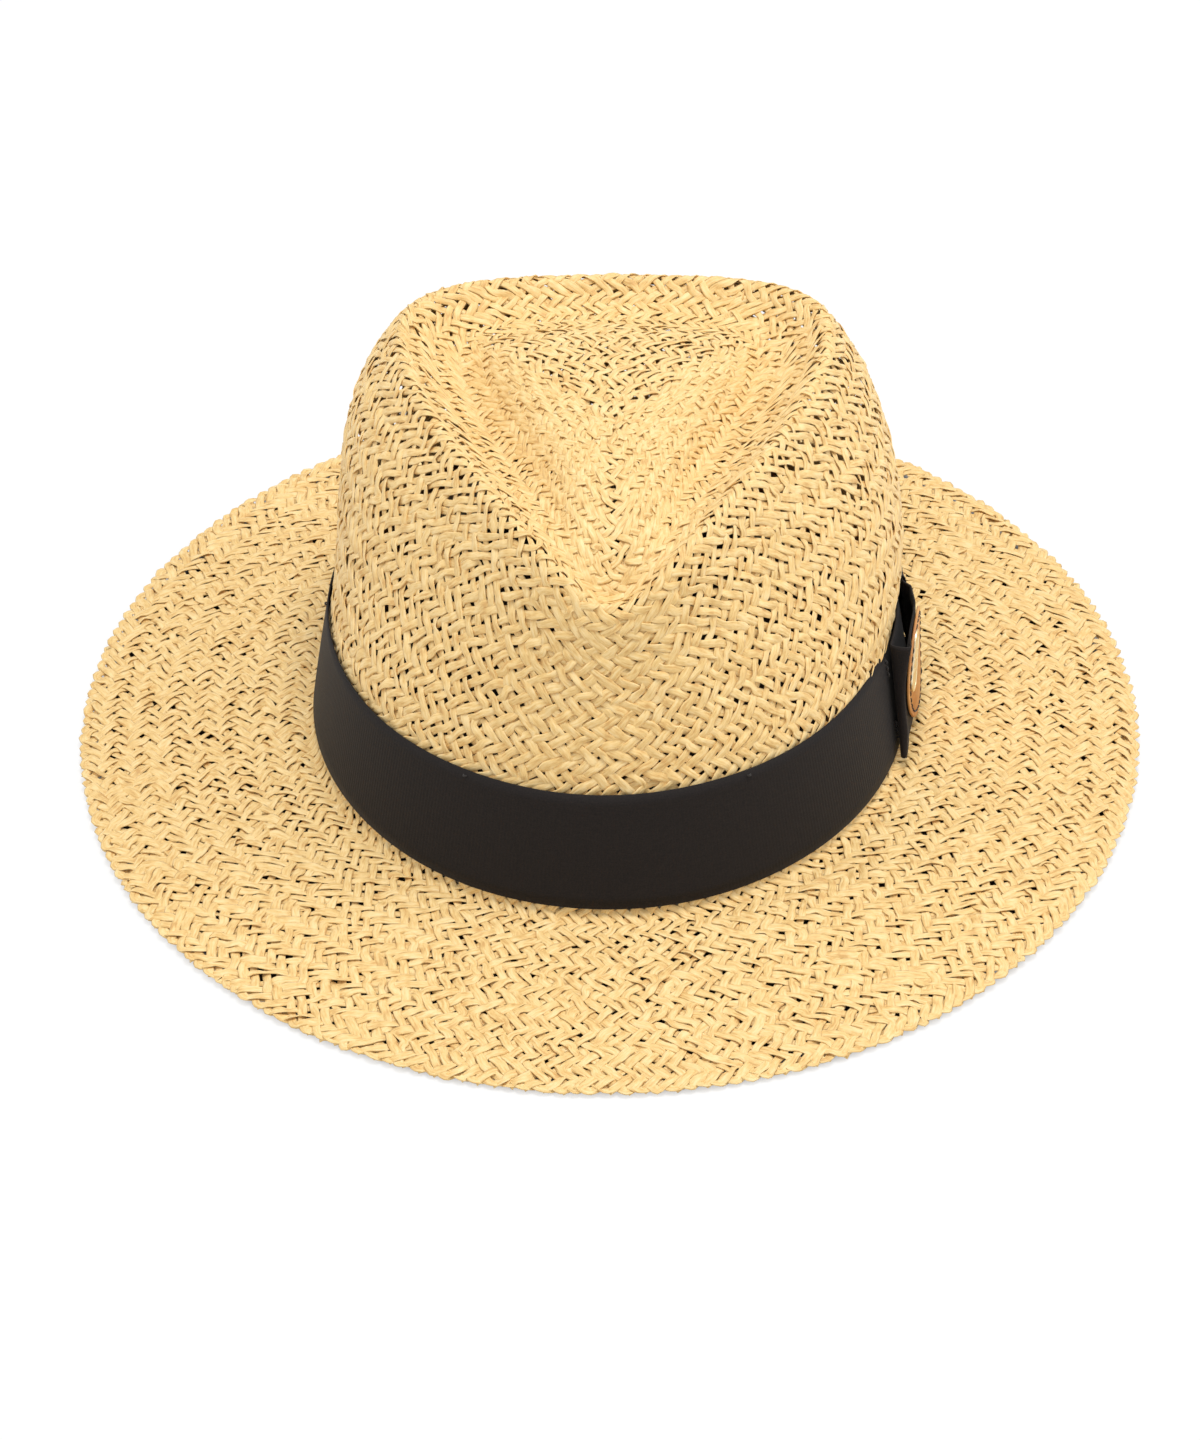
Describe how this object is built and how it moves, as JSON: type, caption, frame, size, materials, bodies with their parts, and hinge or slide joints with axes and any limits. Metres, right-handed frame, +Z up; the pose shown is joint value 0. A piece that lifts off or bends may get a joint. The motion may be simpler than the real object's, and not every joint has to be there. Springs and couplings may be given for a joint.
{
  "type": "panama hat",
  "caption": "Woven straw fedora-shaped sun hat with pinched teardrop crown, ribbon band, flat side bow, round leather badge and inner sweatband.",
  "frame": {"origin": "under the middle of the hat, on the surface that the brim edge stands on", "axes": "-Y is the front of the hat, +X the wearer's left (the bow side), +Z up out of the crown"},
  "size_m": [0.3066, 0.3356, 0.1075],
  "materials": {
    "straw": "woven flat paper straw, matt with a faint sheen along the strands",
    "ribbon": "black grosgrain ribbon with fine upright ribs",
    "dark_thread": "twisted sewing thread",
    "light_thread": "twisted sewing thread",
    "badge_leather": "vegetable-tanned leather, smooth face, burnished edge",
    "plate_metal": "pale gold plated, polished",
    "sweatband_leather": "thin soft leather, matt",
    "lining": "plain cotton tape",
    "label": "blank satin-weave label"
  },
  "bodies": {
    "root": {"straw_body": "straw", "hatband_ribbon": "ribbon", "ribbon_tacks": "dark_thread", "bow_loop": "ribbon", "bow_keeper": "ribbon", "bow_stitches": "dark_thread", "leather_badge": "badge_leather", "badge_stitches": "dark_thread", "badge_plate": "plate_metal", "plate_prongs": "plate_metal", "plate_washers": "plate_metal", "sweatband": "sweatband_leather", "sweatband_reed": "lining", "sweatband_stitching": "light_thread", "sweatband_tape": "lining", "tape_stitches": "light_thread", "size_label": "label", "label_stitches": "light_thread"}
  },
  "joints": []
}
